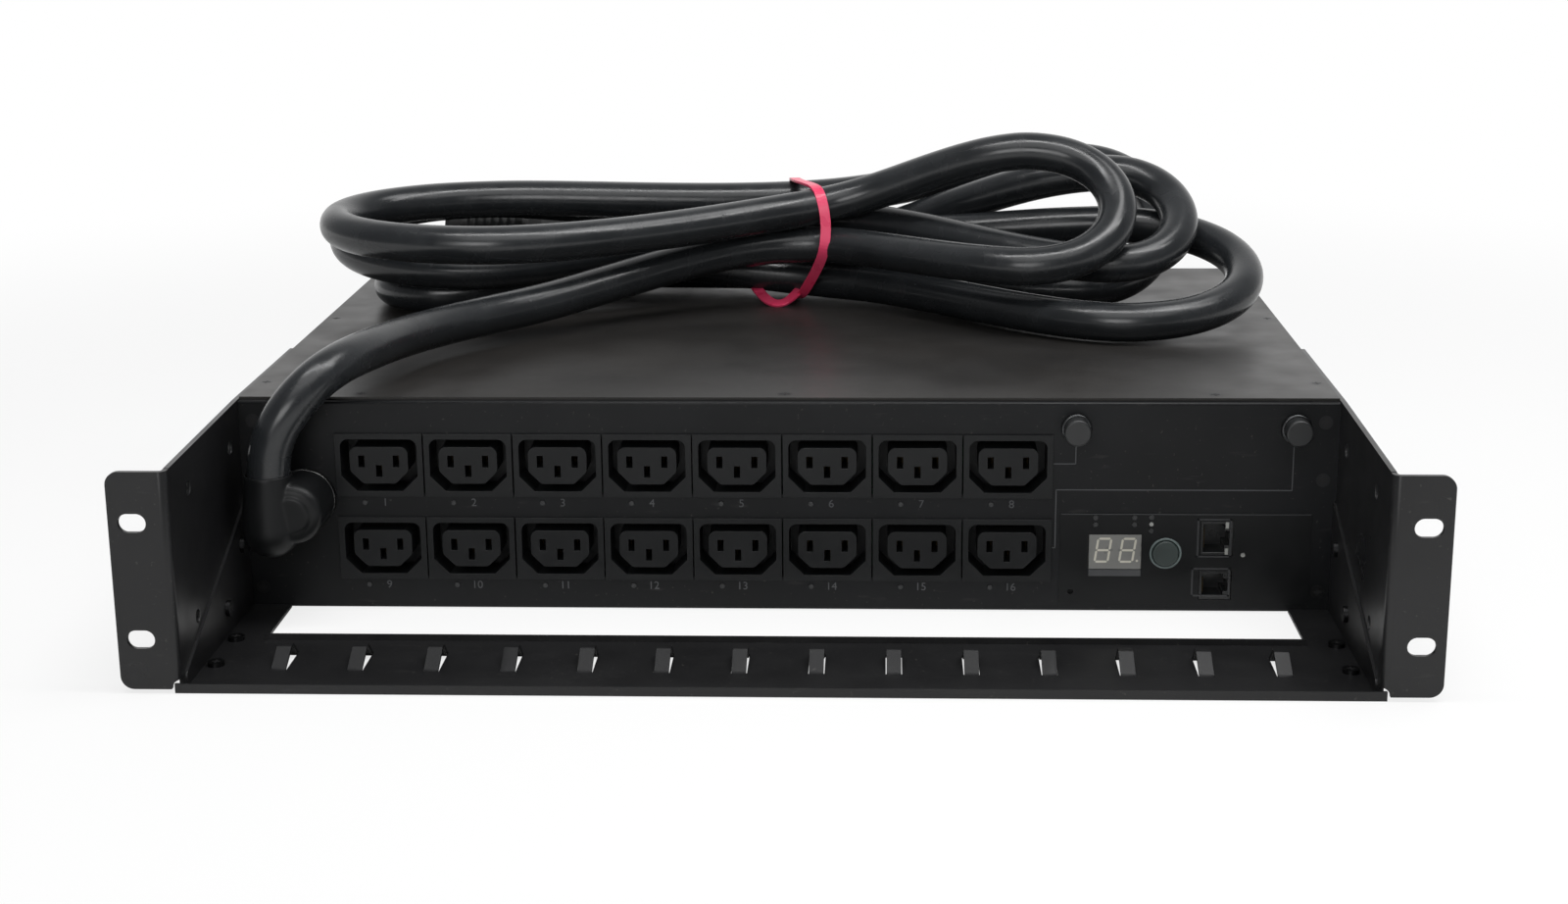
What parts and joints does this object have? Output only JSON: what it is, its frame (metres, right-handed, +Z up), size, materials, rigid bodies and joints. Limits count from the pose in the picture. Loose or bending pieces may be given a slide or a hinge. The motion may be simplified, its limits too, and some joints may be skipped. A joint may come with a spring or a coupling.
{
  "type": "rack power distribution unit",
  "caption": "Switched rack power distribution unit: folded steel box set back behind slotted rack ears, with rows of appliance outlets, breakers, ammeter display, cord tray and coiled cord.",
  "frame": {"origin": "middle of the footprint of the unit without its cord, on the underside", "axes": "+X to the right of someone who faces the outlets, -Y out of the outlets towards that person, +Z up"},
  "size_m": [0.4826, 0.39, 0.1666],
  "materials": {
    "powder_coated_steel": "satin black powder coat on folded steel sheet",
    "outlet_moulding": "moulded black thermoplastic",
    "contact_brass": "plain",
    "circuit_board": "solder mask",
    "relay_case": "moulded",
    "breaker_moulding": "moulded black",
    "nut_metal": "blackened",
    "overlay_film": "satin printed film",
    "display_lens": "grey segment display",
    "button_moulding": "moulded",
    "ring_moulding": "moulded",
    "jack_moulding": "moulded black",
    "light_pipe": "clear, unlit",
    "post_metal": "plated",
    "transformer_iron": "laminated and varnished",
    "sensor_core": "potted",
    "strain_relief_moulding": "moulded",
    "cord_jacket": "semi-gloss extruded jacket",
    "tie_nylon": "red nylon",
    "plug_moulding": "moulded",
    "screw_steel": "black oxide"
  },
  "bodies": {
    "unit": {"chassis_base": "powder_coated_steel", "front_panel": "powder_coated_steel", "top_cover": "powder_coated_steel", "bracket_left": "powder_coated_steel", "bracket_right": "powder_coated_steel", "cord_tray": "powder_coated_steel", "outlet_01": "outlet_moulding", "outlet_02": "outlet_moulding", "outlet_03": "outlet_moulding", "outlet_04": "outlet_moulding", "outlet_05": "outlet_moulding", "outlet_06": "outlet_moulding", "outlet_07": "outlet_moulding", "outlet_08": "outlet_moulding", "outlet_09": "outlet_moulding", "outlet_10": "outlet_moulding", "outlet_11": "outlet_moulding", "outlet_12": "outlet_moulding", "outlet_13": "outlet_moulding", "outlet_14": "outlet_moulding", "outlet_15": "outlet_moulding", "outlet_16": "outlet_moulding", "outlet_contacts": "contact_brass", "jack_wires": "contact_brass", "plug_blades": "contact_brass", "relay_board_upper": "circuit_board", "relay_board_lower": "circuit_board", "control_board": "circuit_board", "supply_board": "circuit_board", "relays": "relay_case", "push_switches": "relay_case", "terminal_block": "relay_case", "breaker_body_1": "breaker_moulding", "breaker_body_2": "breaker_moulding", "breaker_nuts": "nut_metal", "control_overlay": "overlay_film", "display_module": "display_lens", "select_ring": "ring_moulding", "network_jack": "jack_moulding", "serial_jack": "jack_moulding", "status_lights": "light_pipe", "outlet_lights": "light_pipe", "board_posts": "post_metal", "earth_stud": "post_metal", "supply_transformer": "transformer_iron", "current_sensors": "sensor_core", "cord_elbow": "strain_relief_moulding", "elbow_nuts": "strain_relief_moulding", "cord_lead": "cord_jacket", "cord_hank": "cord_jacket", "cord_tail": "cord_jacket", "cable_tie": "tie_nylon", "plug_body": "plug_moulding", "cover_screws": "screw_steel", "panel_screws": "screw_steel", "bracket_screws": "screw_steel"},
    "breaker_button_1_body": {"breaker_button_1": "breaker_moulding"},
    "breaker_button_2_body": {"breaker_button_2": "breaker_moulding"},
    "select_button_body": {"select_button": "button_moulding"},
    "reset_button_body": {"reset_button": "button_moulding"}
  },
  "joints": [
    {"name": "breaker_1_trip", "type": "slide", "parent": "unit", "child": "breaker_button_1_body", "axis": [0, -1, 0], "range_m": [0, 0.0045]},
    {"name": "breaker_2_trip", "type": "slide", "parent": "unit", "child": "breaker_button_2_body", "axis": [0, -1, 0], "range_m": [0, 0.0045]},
    {"name": "select_press", "type": "slide", "parent": "unit", "child": "select_button_body", "axis": [0, 1, 0], "range_m": [0, 0.0008], "stiffness_N_per_m": 2000},
    {"name": "reset_press", "type": "slide", "parent": "unit", "child": "reset_button_body", "axis": [0, 1, 0], "range_m": [0, 0.0006], "stiffness_N_per_m": 2000}
  ]
}
